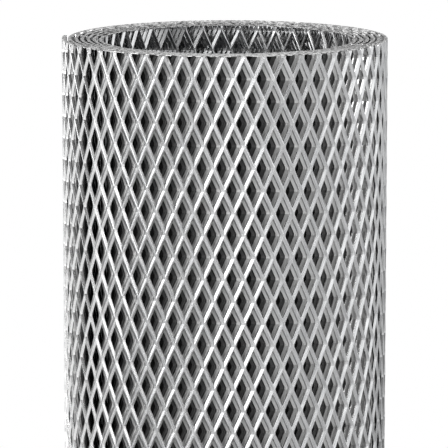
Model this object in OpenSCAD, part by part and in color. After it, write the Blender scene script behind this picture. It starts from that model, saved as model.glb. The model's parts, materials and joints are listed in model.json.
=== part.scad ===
// Roll of raised expanded metal, standing on its end
// One sheet wound on itself round an open bore, with its long diamonds along the roll
// Millimetres, +Z up along the roll, origin at the middle of the lower end

/* [Sheet] */
// Width of the sheet, which is the height of the standing roll
sheet_width = 1000; // [300:10:1500]
// Length of the sheet that is wound up
sheet_length = 6000; // [2000:100:12000]
// Depth of the raised mesh from its inner to its outer side
sheet_depth = 6; // [3:0.1:12]

/* [Winding] */
// Diameter of the open bore
bore_dia = 246; // [120:2:400]
// Clear gap between one layer of the sheet and the next
layer_gap = 1.5; // [0.5:0.1:4]
// How far the gaps between the layers are open at each end
gap_reach = 22; // [5:1:100]

/* [Hidden] */
$fn = 180;
bright_steel = [0.74, 0.75, 0.76];
// Cuts run this far past the ends
past = 1;

bore_r = bore_dia / 2;
layer_pitch = sheet_depth + layer_gap;
// Middle line of the innermost layer
start_r = bore_r + sheet_depth / 2;
// Turns of a spiral from start_r that rises one pitch a turn and is as long as the sheet
turns = (sqrt(start_r * start_r + layer_pitch * sheet_length / PI) - start_r) / layer_pitch;
// Layers on the side where the sheet's two ends lap
layers = ceil(turns);
wall = layers * layer_pitch - layer_gap;

// Half section of one gap between layers, open at one end of the roll
module gap_section() {
    square([layer_gap, gap_reach + past]);
}

// Half section of the wound wall, to the right of the roll's axis
module wall_section() {
    difference() {
        translate([bore_r, 0])
            square([wall, sheet_width]);
        for (i = [1 : layers - 1]) {
            gap_r = bore_r + i * layer_pitch - layer_gap;
            translate([gap_r, -past])
                gap_section();
            translate([gap_r, sheet_width - gap_reach])
                gap_section();
        }
    }
}

// The wound sheet, its layers standing free of each other at both ends
module mesh_roll() {
    color(bright_steel)
        rotate_extrude()
            wall_section();
}

mesh_roll();
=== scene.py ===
# Roll of raised expanded metal, standing on its end
import json
import math

import bpy
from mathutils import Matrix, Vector


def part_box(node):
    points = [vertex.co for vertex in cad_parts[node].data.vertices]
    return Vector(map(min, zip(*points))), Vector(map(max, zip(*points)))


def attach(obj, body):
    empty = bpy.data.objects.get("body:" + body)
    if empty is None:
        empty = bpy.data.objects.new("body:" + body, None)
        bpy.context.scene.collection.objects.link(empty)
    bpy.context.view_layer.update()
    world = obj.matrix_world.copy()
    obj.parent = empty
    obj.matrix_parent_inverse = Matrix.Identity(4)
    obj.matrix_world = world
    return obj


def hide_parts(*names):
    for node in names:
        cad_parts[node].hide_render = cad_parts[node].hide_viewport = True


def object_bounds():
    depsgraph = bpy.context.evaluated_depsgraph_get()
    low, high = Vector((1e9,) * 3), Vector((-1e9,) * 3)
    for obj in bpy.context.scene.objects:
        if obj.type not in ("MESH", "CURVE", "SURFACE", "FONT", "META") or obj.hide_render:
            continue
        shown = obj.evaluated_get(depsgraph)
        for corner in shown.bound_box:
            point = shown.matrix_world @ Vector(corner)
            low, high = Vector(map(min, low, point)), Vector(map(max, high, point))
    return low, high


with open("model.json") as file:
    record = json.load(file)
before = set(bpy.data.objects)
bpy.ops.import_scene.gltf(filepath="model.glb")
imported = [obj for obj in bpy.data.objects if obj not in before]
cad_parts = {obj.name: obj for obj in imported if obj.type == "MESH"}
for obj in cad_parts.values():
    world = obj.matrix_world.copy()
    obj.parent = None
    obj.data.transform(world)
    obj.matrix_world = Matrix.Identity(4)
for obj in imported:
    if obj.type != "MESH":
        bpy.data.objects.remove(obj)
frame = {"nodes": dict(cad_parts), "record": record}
cadLow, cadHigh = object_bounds()
print("frame loaded:", sorted(frame["nodes"]))


class Wire:
    # A socket in a node tree: sums on it add Math nodes, and node() adds any other node
    def __init__(self, tree, socket=None):
        self.tree = tree
        self.socket = socket

    def node(self, kind, settings=None, sockets=None, out=0):
        made = self.tree.nodes.new(kind)
        for name, value in (settings or {}).items():
            setattr(made, name, value)
        for name, value in (sockets or {}).items():
            if isinstance(value, Wire):
                self.tree.links.new(value.socket, made.inputs[name])
            else:
                made.inputs[name].default_value = value
        return Wire(self.tree, made.outputs[out] if made.outputs else None)

    def other(self, out):
        # another output of the node this socket is on
        return Wire(self.tree, self.socket.node.outputs[out])

    def math(self, operation, *values):
        return self.node("ShaderNodeMath", {"operation": operation}, dict(enumerate(values)))

    def __add__(self, value):
        return self.math("ADD", self, value)

    def __radd__(self, value):
        return self.math("ADD", value, self)

    def __sub__(self, value):
        return self.math("SUBTRACT", self, value)

    def __rsub__(self, value):
        return self.math("SUBTRACT", value, self)

    def __mul__(self, value):
        return self.math("MULTIPLY", self, value)

    def __rmul__(self, value):
        return self.math("MULTIPLY", value, self)

    def __truediv__(self, value):
        return self.math("DIVIDE", self, value)

    def __rtruediv__(self, value):
        return self.math("DIVIDE", value, self)

    def __mod__(self, value):
        return self.math("FLOORED_MODULO", self, value)

    def __rmod__(self, value):
        return self.math("FLOORED_MODULO", value, self)

    def floor(self):
        return self.math("FLOOR", self)

    def root(self):
        return self.math("SQRT", self)

    def sine(self):
        return self.math("SINE", self)

    def cosine(self):
        return self.math("COSINE", self)

    def absolute(self):
        return self.math("ABSOLUTE", self)

    def above(self, limit):
        return self.math("GREATER_THAN", self, limit)

    def between(self, low, high):
        return self.math("MAXIMUM", self.math("MINIMUM", self, high), low)

    def stored(self, name, kind):
        return self.node("GeometryNodeInputNamedAttribute", {"data_type": kind}, {"Name": name})

    def store(self, geometry, name, kind, domain, value):
        sockets = {"Geometry": geometry, "Name": name, "Value": value}
        settings = {"data_type": kind, "domain": domain}
        return self.node("GeometryNodeStoreNamedAttribute", settings, sockets)

    def noise(self, at, scale, detail):
        sockets = {"Vector": at, "Scale": scale, "Detail": detail}
        return self.node("ShaderNodeTexNoise", None, sockets, out="Fac")

    def blend(self, factor, first, second):
        # from the first colour to the second, by the Mix node's colour sockets
        sockets = {0: factor, 6: first, 7: second}
        return self.node("ShaderNodeMix", {"data_type": "RGBA"}, sockets, out=2)


# Bright steel of the sheet: rolled on its wide sides, and brighter on its cut edges, with painted shade
# and light on the layers under the outermost, and painted shade on the strands' cut ends and in the
# edging's gaps
steelLook = {
    "light": (0.68, 0.685, 0.69, 1),
    "dull": (0.36, 0.365, 0.375, 1),
    "edge": (0.90, 0.90, 0.90, 1),
    "edgeFrom": 0.97,       # share of half a strand's width from which it is cut edge
    "roughLow": 0.20,
    "roughHigh": 0.34,
    "streakAcross": 700,    # streaks to a metre, across a strand
    "streakAlong": 60,      # and along it
    "streakShift": 3.7,     # from one strip to the next, so that no two are alike
    "streakDetail": 3,
    "streakWeight": 2.0,
    "streakDepth": 0.00005,
    "streakBump": 0.5,
    "patches": 22,          # dull patches to a metre
    "patchDetail": 2,
    "patchWeight": 0.6,
    "shadedInsideUp": (0.42, 0.42, 0.42, 1),      # painted shade under the outermost layer, on faces that look up
    "litInsideDown": (0.70, 0.70, 0.70, 1),    # and painted light on faces that look down
    "insideRough": 0.6,
    "shade": 0.24,          # what is left of the light on each layer from the third in
    "unlit": (0.0, 0.0, 0.0, 1),
    "specks": 220,          # painted dark gaps to a metre of the edging, painted shade in place of real gaps
    "speckDetail": 1,
    "speckShare": 0.53,     # noise above this is a painted gap
    "speckContrast": 8,
    # the colour of the painted shade in the edging's gaps
    "gapShade": (0.02, 0.02, 0.02, 1),
    "endSlope": 0.9,        # faces that look up or down more than this are a strand's cut end
    # painted shade on a strand's cut end
    "cutEndShade": (0.12, 0.12, 0.12, 1),
    "middle": 0.5,          # of a noise, and of a share from 0 to 1
}


def brightSteel(width, mark):
    look = steelLook
    middle = look["middle"]
    made = bpy.data.materials.new("brightSteel")
    made.use_nodes = True
    tree = made.node_tree
    tree.nodes.clear()
    wire = Wire(tree)
    point = wire.node("ShaderNodeAttribute", {"attribute_name": "strandPoint"}, out="Vector")
    strip = wire.node("ShaderNodeAttribute", {"attribute_name": "stripNumber"}, out="Fac")
    cover = wire.node("ShaderNodeAttribute", {"attribute_name": "layersOver"}, out="Fac")
    across = wire.node("ShaderNodeSeparateXYZ", None, {"Vector": point})
    z = across.other("Z")
    streakAt = wire.node("ShaderNodeCombineXYZ", None, {
        "X": across * look["streakAcross"] + strip * look["streakShift"],
        "Y": across.other("Y") * look["streakAcross"],
        "Z": z * look["streakAlong"],
    })
    streak = wire.noise(streakAt, 1, look["streakDetail"])
    patchAt = wire.node("ShaderNodeTexCoord", out="Object")
    patch = wire.noise(patchAt, look["patches"], look["patchDetail"])
    dullness = (streak - middle) * look["streakWeight"] + (patch - middle) * look["patchWeight"]
    dullness = (dullness + middle).between(0, 1)
    side = wire.blend(dullness, look["light"], look["dull"])
    onEdge = across.absolute().above(width / 2 * look["edgeFrom"])
    colour = wire.blend(onEdge, side, look["edge"])
    # the edging at the ends, which carries its mark here, has painted dark gaps: painted shade in place
    # of real gaps
    speckAt = wire.node("ShaderNodeCombineXYZ", None, {
        "X": z * look["specks"],
        "Y": across.other("Y") * look["specks"],
    })
    gapShade = wire.noise(speckAt, 1, look["speckDetail"])
    gapShade = ((gapShade - look["speckShare"]) * look["speckContrast"] + middle).between(0, 1)
    onRim = across.above(mark / 2)
    colour = wire.blend(gapShade * onRim, colour, look["gapShade"])
    # painted shade and light on the layers under the outermost, standing in for the shadow of the
    # layers over them: faces that look up darker, faces that look down lighter, and each layer from the
    # third in darker again by the shade
    slope = wire.node("ShaderNodeAttribute", {"attribute_name": "slopeUp"}, out="Fac")
    paintedInside = wire.blend(slope.above(0), look["litInsideDown"], look["shadedInsideUp"])
    colour = wire.blend(cover.between(0, 1), colour, paintedInside)
    deep = cover.math("MAXIMUM", cover - 1, 0)
    dark = cover.math("POWER", look["shade"], deep)
    colour = wire.blend(dark, look["unlit"], colour)
    # painted shade on the strands' cut ends, standing in for the shadow under the edging
    colour = wire.blend(slope.absolute().above(look["endSlope"]), colour, look["cutEndShade"])
    rough = look["roughLow"] + dullness * (look["roughHigh"] - look["roughLow"])
    rough = rough + (look["insideRough"] - rough) * cover.between(0, 1)
    bump = wire.node("ShaderNodeBump", None, {
        "Height": streak, "Strength": look["streakBump"], "Distance": look["streakDepth"],
    })
    shader = wire.node("ShaderNodeBsdfPrincipled", None, {
        "Base Color": colour, "Metallic": 1.0, "Roughness": rough, "Normal": bump,
    })
    wire.node("ShaderNodeOutputMaterial", None, {"Surface": shader})
    return made


# The sheet: strips of steel in zigzag, joined to their neighbours at the bonds
sheet = {
    "length": 6.0,
    "shortWay": 0.02031,       # a diamond, measured round the roll
    "halfRows": 44,            # half diamonds up the roll
    "strandWidth": 0.0041,
    "strandThickness": 0.0030,
    "bevel": 0.0006,           # off two corners of a strand
    "lean": 29,                # degrees a strand's wide side leans out of the sheet
    "rowTilt": 5.4,            # degrees the rows of bonds dip from the front to the back
    "rowTiltAside": 0.8,       # and from left to right
    "bondLength": 0.0025,
    "bondStep": 0.0008,        # from one strip to the next where they join
    "winding": -1,             # 1 winds outwards anticlockwise seen from above, -1 clockwise
    "outerEnd": 173.82,        # degrees from +X to the sheet's outer end: 90 is the back
    "slack": 0.0009,           # from the widest strand to the roll's box
    "innerSlack": 0.0040,      # and from the innermost one to the bore
    "drop": 0.0022,            # the innermost turn has slipped down this far against the outermost
    "weld": 0.000002,          # points nearer to each other than this become one
    "pieces": 6,               # the wound sheet is cut into this many meshes
}

# The cut edge that closes the mesh along both ends of the roll
edge = {
    "height": 0.0004,
    "thickness": 0.0036,
    "strandsStop": 0.0010,     # from the end of the roll down to the strands
    "wave": 0.0002,            # how far it swings in and out
    "waveLength": 0.0101,
    "ripple": 0.0001,          # and up and down
    "rippleLength": 0.0068,
    "step": 0.0013,            # from one ring of points to the next
    "mark": 1,                 # takes the place of the way across a strand, far past its width
}


def spiral(size, length):
    # radius, angle and turns of the sheet's middle line at a length from its inner end
    start = size["Start Radius"]
    pitch = size["Turn Pitch"] / math.tau
    turned = ((start * start + length * pitch * 2).root() - start) / pitch
    return start + turned * pitch, size["Start Angle"] + turned * size["Winding"], turned / math.tau


def newTree(name, kinds):
    tree = bpy.data.node_groups.new(name, "GeometryNodeTree")
    for label, kind in kinds.items():
        tree.interface.new_socket(name=label, in_out="INPUT", socket_type="NodeSocket" + kind)
    tree.interface.new_socket(name="Mesh", in_out="OUTPUT", socket_type="NodeSocketGeometry")
    wire = Wire(tree)
    given = wire.node("NodeGroupInput")
    return wire, {label: given.other(label) for label in kinds}


def stripTree():
    kinds = {
        "Short Way": "Float",
        "Half Row": "Float",
        "Half Rows": "Int",
        "End Gap": "Float",
        "Row Slope": "Float",
        "Side Slope": "Float",
        "Outer Radius": "Float",
        "Strand Width": "Float",
        "Strand Thickness": "Float",
        "Bevel": "Float",
        "Lean": "Float",
        "Bond Length": "Float",
        "Bond Step": "Float",
        "Start Radius": "Float",
        "Turn Pitch": "Float",
        "Start Angle": "Float",
        "Winding": "Float",
        "First Strip": "Int",
        "Strip Count": "Int",
        "Turns": "Float",
        "Drop": "Float",
        "Steel": "Material",
    }
    wire, size = newTree("woundStrips", kinds)

    half = size["Short Way"] / 2
    leanCos = size["Lean"].cosine()
    leanSin = size["Lean"].sine()
    # from a strip's middle line to its bonds, round the roll and outwards
    reach = half / 2 - size["Bond Step"] / 2 * leanCos
    lift = size["Bond Step"] / 2 * leanSin

    # a six-sided bar with two rings of points to a bond, from a bond below the roll to two above it
    bondsPast = 3
    rings = (size["Half Rows"] + 1 + bondsPast) * 2
    bar = wire.node("GeometryNodeMeshCylinder", {"fill_type": "NGON"}, {
        "Vertices": 6, "Side Segments": rings - 1, "Radius": 1, "Depth": rings - 1,
    })
    barSpot = wire.node("GeometryNodeInputPosition")
    bar = wire.store(bar, "strandPoint", "FLOAT_VECTOR", "POINT", barSpot)
    # one bar for each strip
    spots = wire.node("GeometryNodePoints", None, {"Count": size["Strip Count"]})
    count = wire.node("GeometryNodeInputIndex") + size["First Strip"]
    spots = wire.store(spots, "stripNumber", "FLOAT", "POINT", count)
    strips = wire.node("GeometryNodeInstanceOnPoints", None, {"Points": spots, "Instance": bar})
    strips = wire.node("GeometryNodeRealizeInstances", None, {"Geometry": strips})

    barPoint = wire.stored("strandPoint", "FLOAT_VECTOR")
    number = wire.stored("stripNumber", "FLOAT")
    at = wire.node("ShaderNodeSeparateXYZ", None, {"Vector": barPoint})
    radius, angle, turnsIn = spiral(size, (number + 0.5) * half)
    # pressed into a rectangle with two bevelled corners
    tall = math.sqrt(3)    # across the flats of a six-sided bar of radius 1
    wide = 2 - size["Bevel"] / size["Strand Width"] * 2
    across = (at * wide + at.other("Y") * (2 - wide) / tall).between(-1, 1)
    across = across * size["Strand Width"] / 2
    narrow = 1 - size["Bevel"] / size["Strand Thickness"] * 2
    thick = (at * narrow - at.other("Y") * (2 + narrow) / tall).between(-1, 1)
    thick = thick * size["Strand Thickness"] / 2
    # cut at the ends of the roll, its rows of bonds dipping from the front to the back
    ring = (at.other("Z") + (rings - 1) / 2 + 0.5).floor()
    bond = (ring / 2).floor() - 1
    after = (ring - bond * 2 - 2) * 2 - 1
    dip = (radius * angle.sine() + size["Outer Radius"]) * size["Row Slope"]
    dip = dip + radius * angle.cosine() * size["Side Slope"]
    z = bond * size["Half Row"] + after * size["Bond Length"] / 2 - dip
    rise = turnsIn / size["Turns"] * size["Drop"]
    top = size["Half Rows"] * size["Half Row"] - size["End Gap"] - size["Drop"]
    z = z.between(size["End Gap"] + rise, top + rise)
    # from side to side between bonds, the odd strips against the even ones
    swing = ((z + dip) / size["Half Row"] % 2 - 1).absolute() * 2 - 1
    swing = (swing * size["Half Row"] / (size["Half Row"] - size["Bond Length"])).between(-1, 1)
    side = swing * (1 - number % 2 * 2)
    out = radius + across * leanSin + thick * leanCos + side * lift
    along = across * leanCos - thick * leanSin - side * reach
    place = wire.node("ShaderNodeCombineXYZ", None, {
        "X": out * angle.cosine() - along * angle.sine(),
        "Y": out * angle.sine() + along * angle.cosine(),
        "Z": z,
    })
    strips = wire.node("GeometryNodeSetPosition", None, {"Geometry": strips, "Position": place})
    strandPoint = wire.node("ShaderNodeCombineXYZ", None, {"X": across, "Y": thick, "Z": z})
    strips = wire.store(strips, "strandPoint", "FLOAT_VECTOR", "POINT", strandPoint)
    # the rings that the cut brought together
    weld = {"Geometry": strips, "Distance": sheet["weld"]}
    strips = wire.node("GeometryNodeMergeByDistance", None, weld)
    slope = wire.node("ShaderNodeSeparateXYZ", None, {"Vector": wire.node("GeometryNodeInputNormal")})
    here = wire.node("ShaderNodeSeparateXYZ", None, {"Vector": wire.node("GeometryNodeInputPosition")})
    looksOut = (slope * here + slope.other("Y") * here.other("Y")).above(0)
    # whole layers over a face that looks out, and none over one that looks to the bore; the steel
    # paints shade and light on the inner layers by this count and by how a face slopes
    over = ((size["Turns"] - turnsIn) * looksOut).floor()
    strips = wire.store(strips, "layersOver", "FLOAT", "FACE", over)
    strips = wire.store(strips, "slopeUp", "FLOAT", "FACE", slope.other("Z"))
    strips = wire.node("GeometryNodeSetMaterial", None, {"Geometry": strips, "Material": size["Steel"]})
    wire.node("NodeGroupOutput", None, {"Mesh": strips})
    return wire.tree


def edgeTree():
    kinds = {
        "Height": "Float",
        "Thickness": "Float",
        "Wave": "Float",
        "Wave Length": "Float",
        "Ripple": "Float",
        "Ripple Length": "Float",
        "Step": "Float",
        "Rings": "Int",
        "Start Radius": "Float",
        "Turn Pitch": "Float",
        "Start Angle": "Float",
        "Winding": "Float",
        "Level": "Float",
        "Turns": "Float",
        "Drop": "Float",
        "Steel": "Material",
    }
    wire, size = newTree("woundEdge", kinds)
    # a four-sided bar, bent along the sheet's spiral
    bar = wire.node("GeometryNodeMeshCylinder", {"fill_type": "NGON"}, {
        "Vertices": 4, "Side Segments": size["Rings"] - 1, "Radius": 1, "Depth": size["Rings"] - 1,
    })
    at = wire.node("ShaderNodeSeparateXYZ", None, {"Vector": wire.node("GeometryNodeInputPosition")})
    length = (at.other("Z") + (size["Rings"] - 1) / 2) * size["Step"]
    out = (at - at.other("Y")) * size["Thickness"] / 2
    up = (at + at.other("Y")) * size["Height"] / -2 * size["Winding"]
    radius, angle, turnsIn = spiral(size, length)
    radius = radius + out + (length / size["Wave Length"] * math.tau).sine() * size["Wave"]
    swell = (length / size["Ripple Length"] * math.tau).sine() * size["Ripple"]
    rise = turnsIn / size["Turns"] * size["Drop"]
    place = wire.node("ShaderNodeCombineXYZ", None, {
        "X": radius * angle.cosine(),
        "Y": radius * angle.sine(),
        "Z": size["Level"] + up + swell + rise,
    })
    # its mark gives it the colour of a cut edge, and the painted shade of its dark gaps
    strandPoint = wire.node("ShaderNodeCombineXYZ", None, {"X": edge["mark"], "Y": out, "Z": length})
    bar = wire.store(bar, "strandPoint", "FLOAT_VECTOR", "POINT", strandPoint)
    bar = wire.node("GeometryNodeSetPosition", None, {"Geometry": bar, "Position": place})
    bar = wire.node("GeometryNodeRealizeInstances", None, {"Geometry": bar})
    bar = wire.node("GeometryNodeSetMaterial", None, {"Geometry": bar, "Material": size["Steel"]})
    wire.node("NodeGroupOutput", None, {"Mesh": bar})
    return wire.tree


def meshPiece(name, tree, values):
    sockets = tree.interface.items_tree
    ids = {socket.name: socket.identifier for socket in sockets if socket.in_out == "INPUT"}
    holder = bpy.data.objects.new("holder", bpy.data.meshes.new("holder"))
    bpy.context.collection.objects.link(holder)
    nodes = holder.modifiers.new("made", "NODES")
    nodes.node_group = tree
    for label, value in values.items():
        nodes[ids[label]] = value
    graph = bpy.context.evaluated_depsgraph_get()
    mesh = bpy.data.meshes.new_from_object(holder.evaluated_get(graph))
    bpy.data.objects.remove(holder)
    piece = bpy.data.objects.new(name, mesh)
    bpy.context.collection.objects.link(piece)
    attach(piece, "root")
    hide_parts("mesh_roll")
    print(name, len(mesh.polygons), "faces", len(mesh.loop_triangles), "triangles")


def woundSheet():
    bore = next(mount for mount in frame["record"]["mounts"] if mount["name"] == "bore")
    boreRadius = bore["dims"]["r_mm"] / 1000 + sheet["innerSlack"]
    low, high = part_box("mesh_roll")
    outerRadius = (high[0] - low[0]) / 2 - sheet["slack"]
    half = sheet["shortWay"] / 2
    lean = math.radians(sheet["lean"])
    depth = (sheet["strandWidth"] + sheet["bondStep"]) * math.sin(lean)
    depth += sheet["strandThickness"] * math.cos(lean)
    turns = sheet["length"] / (math.pi * (boreRadius + outerRadius))
    pitch = (outerRadius - boreRadius - depth) / turns
    strips = round(sheet["length"] / half)
    steel = brightSteel(sheet["strandWidth"], edge["mark"])
    startAngle = math.radians(sheet["outerEnd"]) - sheet["winding"] * math.tau * turns
    print("sheet depth %.4f m, %.2f turns, pitch %.4f m, %d strips" % (depth, turns, pitch, strips))
    wound = {
        "Start Radius": boreRadius + depth / 2,
        "Turn Pitch": pitch,
        "Start Angle": startAngle,
        "Winding": float(sheet["winding"]),
        "Turns": turns,
        "Drop": sheet["drop"],
        "Steel": steel,
    }
    tree = stripTree()
    each = math.ceil(strips / sheet["pieces"])
    for i in range(sheet["pieces"]):
        first = i * each
        meshPiece("mesh_turn_%d" % (i + 1), tree, wound | {
            "Short Way": sheet["shortWay"],
            "Half Row": (high[2] - low[2]) / sheet["halfRows"],
            "Half Rows": sheet["halfRows"],
            "End Gap": edge["strandsStop"],
            "Row Slope": math.tan(math.radians(sheet["rowTilt"])),
            "Side Slope": math.tan(math.radians(sheet["rowTiltAside"])),
            "Outer Radius": outerRadius,
            "Strand Width": sheet["strandWidth"],
            "Strand Thickness": sheet["strandThickness"],
            "Bevel": sheet["bevel"],
            "Lean": lean,
            "Bond Length": sheet["bondLength"],
            "Bond Step": sheet["bondStep"],
            "First Strip": first,
            "Strip Count": min(each, strips - first),
        })
    tree = edgeTree()
    inset = edge["ripple"] + edge["height"] / 2
    levels = {
        "upper_edge": high[2] - inset - sheet["drop"],
        "lower_edge": low[2] + inset,
    }
    for name, level in levels.items():
        meshPiece(name, tree, wound | {
            "Height": edge["height"],
            "Thickness": edge["thickness"],
            "Wave": edge["wave"],
            "Wave Length": edge["waveLength"],
            "Ripple": edge["ripple"],
            "Ripple Length": edge["rippleLength"],
            "Step": edge["step"],
            "Rings": round(strips * half / edge["step"]),
            "Level": level,
        })


woundSheet()

# The floor, which turns white away from the roll to the camera and in reflections, and the sky
studio = {
    "floorReach": 60,
    "floorColour": (0.86, 0.86, 0.86, 1),
    "white": (1, 1, 1, 1),
    "whiteFrom": 1.0,       # metres from the roll's axis at which the floor begins to turn white
    "whiteAt": 2.2,         # and at which it is all white
    "skyLevel": 0.05,
}


def makeFloor():
    mesh = bpy.data.meshes.new("floor")
    reach = studio["floorReach"]
    corners = [(-reach, -reach, 0), (reach, -reach, 0), (reach, reach, 0), (-reach, reach, 0)]
    mesh.from_pydata(corners, [], [(0, 1, 2, 3)])
    floor = bpy.data.objects.new("floor", mesh)
    bpy.context.collection.objects.link(floor)
    paint = bpy.data.materials.new("paleFloor")
    paint.use_nodes = True
    paint.node_tree.nodes.clear()
    wire = Wire(paint.node_tree)
    place = wire.node("ShaderNodeTexCoord", out="Object")
    away = wire.node("ShaderNodeVectorMath", {"operation": "LENGTH"}, {"Vector": place}, out="Value")
    path = wire.node("ShaderNodeLightPath", out="Is Camera Ray")
    seen = path + path.other("Is Glossy Ray") + path.other("Is Transmission Ray")
    far = (away - studio["whiteFrom"]) / (studio["whiteAt"] - studio["whiteFrom"])
    matt = wire.node("ShaderNodeBsdfDiffuse", None, {"Color": studio["floorColour"]})
    white = wire.node("ShaderNodeEmission", None, {"Color": studio["white"], "Strength": 1})
    share = seen.between(0, 1) * far.between(0, 1)
    both = wire.node("ShaderNodeMixShader", None, {"Fac": share, 1: matt, 2: white})
    wire.node("ShaderNodeOutputMaterial", None, {"Surface": both})
    mesh.materials.append(paint)


def makeWorld():
    world = bpy.data.worlds.new("studio")
    bpy.context.scene.world = world
    world.use_nodes = True
    world.node_tree.nodes.clear()
    wire = Wire(world.node_tree)
    glow = {"Color": studio["white"], "Strength": studio["skyLevel"]}
    sky = wire.node("ShaderNodeBackground", None, glow)
    wire.node("ShaderNodeOutputWorld", None, {"Surface": sky})


makeFloor()
makeWorld()
print("floor and sky made")

# Soft lamps all round, which no camera sees: metres and watts
lamps = {
    "leftLight": {
        "place": (-2.5, -1.7, 1.35),
        "target": (0, 0, 0.9),
        "size": (2.4, 1.2),
        "power": 34,
    },
    "frontLeftLight": {
        "place": (-1.4, -3.0, 1.5),
        "target": (0, 0, 0.9),
        "size": (1.4, 1.0),
        "power": 7.5,
    },
    "frontLight": {
        "place": (0, -3.3, 1.7),
        "target": (0, 0, 0.9),
        "size": (1.0, 1.0),
        "power": 5.5,
    },
    "rearLight": {
        "place": (-2.6, 0.95, 1.7),
        "target": (0, 0, 0.9),
        "size": (2.4, 1.8),
        "power": 52,
    },
    "sideRightLight": {
        "place": (2.9, 0.3, 1.9),
        "target": (0, 0, 0.9),
        "size": (1.8, 1.6),
        "power": 8,
    },
    "frontRightLight": {
        "place": (1.4, -2.8, 1.9),
        "target": (0, 0, 0.9),
        "size": (1.7, 2.1),
        "power": 17.0,
    },
    "rightLight": {
        "place": (2.7, -1.5, 1.8),
        "target": (0, 0, 0.9),
        "size": (2.2, 2.2),
        "power": 23,
    },
    "backLight": {
        "place": (0, 3.4, 1.5),
        "target": (0, 0, 1.0),
        "size": (3.0, 0.8),
        "power": 7,
    },
    "topLight": {
        "place": (-1.2, 0.2, 3.6),
        "target": (-1.2, 0.2, 0),
        "size": (4.0, 4.0),
        "power": 65,
    },
}


def softLight(name, place, target, size, power):
    lamp = bpy.data.lights.new(name, "AREA")
    lamp.shape = "RECTANGLE"
    lamp.size, lamp.size_y = size
    lamp.energy = power
    holder = bpy.data.objects.new(name, lamp)
    holder.location = place
    holder.rotation_euler = (Vector(target) - Vector(place)).to_track_quat("-Z", "Y").to_euler()
    holder.visible_camera = False
    bpy.context.collection.objects.link(holder)


for name, lamp in lamps.items():
    softLight(name, **lamp)
print(len(lamps), "lamps made")

# The photo's camera
view = {
    "away": 3.625,      # from the roll's axis
    "aside": -0.0023,
    "rise": 0.412,      # above the roll's upper end
    "tilt": 9.565,      # degrees below level
    "focal": 3472,      # in pixels of the picture
    "picture": 448,
    "sensor": 36,
}


def makeCamera():
    lens = bpy.data.cameras.new("camera")
    lens.sensor_width = view["sensor"]
    lens.lens = view["focal"] * view["sensor"] / view["picture"]
    camera = bpy.data.objects.new("camera", lens)
    camera.location = (view["aside"], -view["away"], cadHigh[2] + view["rise"])
    camera.rotation_euler = (math.radians(90 - view["tilt"]), 0, 0)
    bpy.context.collection.objects.link(camera)
    bpy.context.scene.camera = camera


makeCamera()
print("camera %.2f m away" % view["away"])
bpy.context.scene.view_settings.view_transform = "Standard"
